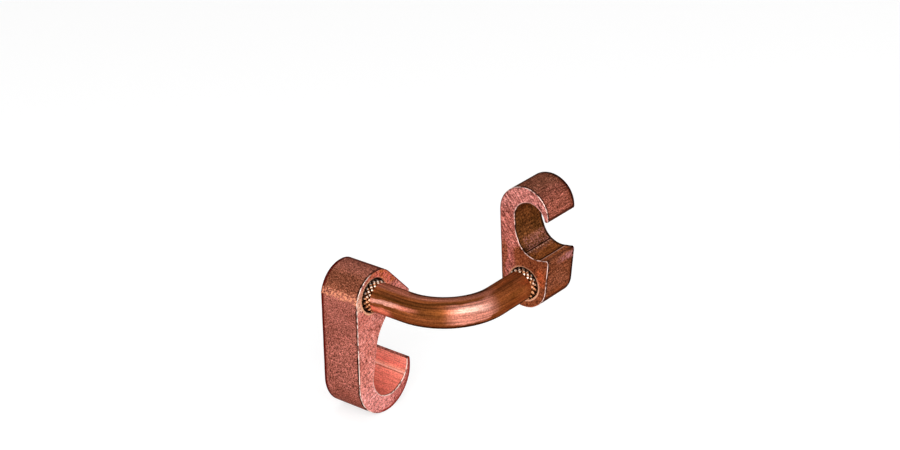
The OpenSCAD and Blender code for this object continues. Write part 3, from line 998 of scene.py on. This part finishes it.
def rod_painted_highlights(m, color):
    """Painted highlights on the outer side of the bend and beside the larger tap, and a painted reflection
    of the larger tap's sawn face on the rod's lower front beside it.
    """
    ruddy, pink = (0.97, 0.24, 0.14), (0.7, 0.25, 0.175)
    rosy, pale = (0.74, 0.22, 0.145), (0.88, 0.52, 0.42)
    wander = m.wander(m.angle, 24.0, 0.2)
    low = m.mul(m.band(wander, -24.0, 15.0, 9.0), m.slope(m.along, 16.0, 9.0))
    rise = m.less(wander, m.mul(m.slope(m.past, 8.9, 16.9), 24.0))
    bent = m.mul(m.band(m.past, 6.4, 4.5, 6.5), m.band(rise, 15.0, 34.0, 12.0))
    fall = m.add(wander, m.mul(m.slope(m.past, 1.9, 10.9), 8.0))
    core = m.mul(m.band(m.past, 6.9, 3.0, 4.5), m.band(fall, 35.0, 8.0, 11.0))
    drift = m.less(wander, m.mul(m.slope(m.along, 6.0, 14.0), 6.0))
    near = m.mul(m.band(drift, 17.0, 3.5, 7.0), m.slope(m.along, 27.0, 18.0))
    near_core = m.mul(near, m.slope(m.along, 20.0, 13.0))
    # Painted reflection low beside the larger tap, painted highlights on the bend and beside the larger tap
    color = m.tint(color, ruddy, low)
    color = m.tint(color, pink, bent)
    color = m.tint(color, rosy, near)
    return m.tint(color, pale, m.either(m.mul(core, 0.55), m.mul(near_core, 0.4)))


def rod_painted_bands(m, color):
    """Painted shade in a line along the upper front and in spots below it, and a lighter painted reflection
    in a line above it.
    """
    painted_shade, top_far, top_near = (0.12, 0.035, 0.007), (0.45, 0.15, 0.095), (0.66, 0.2, 0.125)
    climb = m.add(m.mul(m.slope(m.past, -19.1, -1.1), 21.0), m.mul(m.slope(m.past, 10.9, 22.9), 13.0))
    line = m.band(m.less(m.angle, climb), 42.0, 2.5, 6.5)
    line = m.mul(line, m.add(m.mul(m.slope(m.past, 6.9, -1.1), 0.4), 0.4))
    patch = m.mul(m.band(m.angle, 45.0, 10.0, 8.0), m.band(m.past, -13.1, 4.0, 5.0), 0.7)
    waist = m.mul(m.band(m.angle, 22.0, 12.0, 10.0), m.band(m.past, -8.1, 2.5, 4.0), 0.75)
    reach = m.mul(m.band(m.angle, 24.0, 5.0, 7.0), m.slope(m.past, 16.9, 24.9), 0.45)
    color = m.tint(color, painted_shade, m.either(line, patch, waist, reach))
    top = m.mix(m.slope(m.along, 22.0, 16.0), top_far, top_near)
    return m.tint(color, top, m.band(m.angle, 88.0, 10.0, 12.0), m.slope(m.past, 20.9, 12.9), 0.75)


def rod_material(name):
    """Drawn rod, streaked along its length, with painted shade along the under side and the top."""
    low, high, dark = (0.21, 0.055, 0.0145), (0.31, 0.083, 0.026), (0.04, 0.01, 0.003)
    pit, fleck = (0.75, 0.74, 0.7), (1.25, 1.28, 1.3)
    m = RodNodes(name)
    color = m.ramp(m.noise(m.at, 0.12, detail=4), (0.36, low), (0.64, high))
    color = rod_painted_bands(m, rod_painted_highlights(m, color))
    drawn = m.join(m.mul(m.x, 8.0), m.mul(m.y, 8.0), m.mul(m.along, 0.045))
    streak = m.noise(drawn, detail=4, rough=0.65)
    color = m.times(color, m.streaks(streak, 0.55, 1.4, 0.14))
    # Painted shade along the under side and the top
    under = m.mul(m.slope(m.angle, -30.0, -40.0), m.slope(m.along, 12.0, 17.0))
    over = m.mul(m.band(m.angle, 114.0, 16.0, 8.0), m.band(m.past, -1.1, 16.0, 4.0))
    color = m.tint(color, dark, m.either(under, over), 0.75)
    color, _ = m.grain(color, 1.6, pit, fleck)
    m.bump(streak, 0.15)
    return m.finish(color, m.rough(streak, 0.32, 0.42), metallic=0.5, left=0.05)


def knurl_material(name):
    """Knurl: grooves dark with painted shade and pale crests with a painted highlight; some crests are taken
    away where worn.
    """
    groove, flank, crest = (0.02, 0.008, 0.003), (0.26, 0.09, 0.035), (0.72, 0.29, 0.12)
    low_light, high_light, in_mouth = (0.82, 0.4, 0.2), (1.0, 0.88, 0.74), (0.22, 0.2, 0.2)
    m = RodNodes(name)
    uneven = m.noise(m.at, 1.1, detail=2)
    out = m.calc("MINIMUM", m.along, m.less(ROD_LEN, m.along))
    # Painted light that is brighter on top, and rubbed flat towards the plain rod
    on_top = m.mul(m.slope(m.y, -0.3, 0.3), 0.15)
    flat = m.mul(m.slope(out, 2.1, 2.9), -0.25)
    height = m.add(m.attribute("crest", "Fac"), m.mul(m.less(uneven, 0.5), 2.4), flat, on_top, 0.15)
    color = m.ramp(height, (0.24, groove), (0.44, flank), (0.75, crest))
    light = m.mix(m.slope(m.y, -0.1, 0.6), low_light, high_light)
    color = m.tint(color, light, m.slope(height, 0.75, 1.0))
    # Painted shade inside the bore's mouth
    color = m.tint(color, m.times(color, in_mouth), m.slope(out, 0.9, 0.1))
    return m.finish(color, m.rough(uneven, 0.34, 0.46), RUBBED)


def head_material(name):
    """Headed end, marked by the press."""
    low, high = (0.3, 0.095, 0.05), (0.56, 0.2, 0.13)
    pit, fleck = (0.5, 0.48, 0.46), (1.35, 1.45, 1.5)
    m = Nodes(name)
    mark = m.noise(m.at, 0.35, detail=5, rough=0.65)
    color = m.ramp(mark, (0.35, low), (0.66, high))
    color, speck = m.grain(color, 1.1, pit, fleck)
    m.bump(mark, 0.3, 2 * BUMP_DEPTH)
    return m.finish(color, m.rough(speck, 0.56, 0.44), BARE)


# Pieces, each with its materials in the order of its surfaces
def dress(piece, *materials):
    for mat in materials:
        piece.data.materials.append(mat)


LARGER_SEED = 3.1
SMALLER_SEED = 11.7

larger = make_tap("larger_tap_dressed", LARGER, place_larger, LARGER_SEED)
smaller = make_tap("smaller_tap_dressed", SMALLER, place_smaller, SMALLER_SEED)
rod = make_rod("bent_rod_dressed")

dress(larger, larger_skin(), larger_sawn(), larger_inside(), larger_arris(),
      mouth_material("larger_mouth"),
      rim_material("larger_rim", LARGER_RIM_LIGHT, low=(0.72, 0.26, 0.17), high=(1.0, 0.62, 0.36)))
dress(smaller, smaller_skin(), smaller_sawn(), smaller_inside(), smaller_arris(),
      mouth_material("smaller_mouth"),
      rim_material("smaller_rim", SMALLER_RIM_LIGHT, low=(0.62, 0.24, 0.14), high=(1.0, 0.56, 0.32)))
dress(rod, rod_material("rod_drawn"), knurl_material("rod_knurl"), head_material("rod_head"))

for piece, node in ((larger, "larger_tap"), (smaller, "smaller_tap"), (rod, "bent_rod")):
    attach(piece, "root")
    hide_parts(node)

# Floor, light and camera, in metres, watts and degrees
WHITE = (1, 1, 1, 1)
FLOOR_HALF = 6.0
FLOOR_GREY = (0.44, 0.46)
FLOOR_GLOW = 0.7
WORLD_LIGHT = 0.24
LIGHTS_AIM = (0.025, 0.015, 0.035)
# Name, place, width and height, watts
LIGHTS = (
    ("key", (0.78, -0.94, 0.62), (1.3, 1.3), 19.0),
    ("side", (1.07, -0.13, 0.58), (0.3, 0.3), 2.2),
    ("top", (-0.3, 0.1, 1.4), (0.8, 0.8), 3.0),
    ("left", (-0.71, -0.98, 0.25), (0.8, 0.5), 2.0),
    ("right", (0.71, 0.98, 0.25), (0.8, 0.5), 2.0),
)
CAMERA_AT = (0.51273, -0.590682, 0.437964)
CAMERA_TURN = (64.41248, 0.97837, 38.03954)
CAMERA_LENS = 85.324
CAMERA_SENSOR = 36


def make_floor():
    """Pale floor that the camera and reflections see as white, and that keeps the shadow."""
    z = cad_box[0][2]
    corners = [(FLOOR_HALF * x, FLOOR_HALF * y, z) for x, y in ((-1, -1), (1, -1), (1, 1), (-1, 1))]
    mesh = bpy.data.meshes.new("floor")
    mesh.from_pydata(corners, [], [(0, 1, 2, 3)])
    obj = bpy.data.objects.new("floor", mesh)
    bpy.context.scene.collection.objects.link(obj)
    m = Nodes("floor_paper")
    paper = m.noise(m.at, 0.8, detail=2, rough=0.5)
    m.finish(m.ramp(paper, (0.3, FLOOR_GREY[0]), (0.7, FLOOR_GREY[1])), 0.9, 0.0)
    rays = m.node("ShaderNodeLightPath").outputs
    seen = m.either(rays["Is Camera Ray"], rays["Is Glossy Ray"], rays["Is Transmission Ray"])
    m.bsdf.inputs["Emission Color"].default_value = WHITE
    m.put(m.bsdf.inputs["Emission Strength"], m.mul(seen, FLOOR_GLOW))
    obj.data.materials.append(m.mat)


def area_light(name, at, size, watts):
    data = bpy.data.lights.new(name, "AREA")
    data.shape = "RECTANGLE"
    data.size, data.size_y = size
    data.energy = watts
    obj = bpy.data.objects.new(name, data)
    obj.location = at
    obj.rotation_mode = "QUATERNION"
    obj.rotation_quaternion = (Vector(LIGHTS_AIM) - Vector(at)).to_track_quat("-Z", "Y")
    bpy.context.scene.collection.objects.link(obj)


def make_world():
    world = bpy.data.worlds.new("studio")
    world.use_nodes = True
    background = next(x for x in world.node_tree.nodes if x.type == "BACKGROUND")
    background.inputs["Color"].default_value = WHITE
    background.inputs["Strength"].default_value = WORLD_LIGHT
    bpy.context.scene.world = world


def make_camera():
    data = bpy.data.cameras.new("camera")
    data.sensor_width = CAMERA_SENSOR
    data.lens = CAMERA_LENS
    obj = bpy.data.objects.new("camera", data)
    turn = Euler([math.radians(a) for a in CAMERA_TURN])
    obj.matrix_world = Matrix.Translation(CAMERA_AT) @ turn.to_matrix().to_4x4()
    bpy.context.scene.collection.objects.link(obj)
    bpy.context.scene.camera = obj


make_floor()
for light in LIGHTS:
    area_light(*light)
make_world()
make_camera()

bpy.context.scene.view_settings.view_transform = "Standard"

bpy.context.view_layer.update()
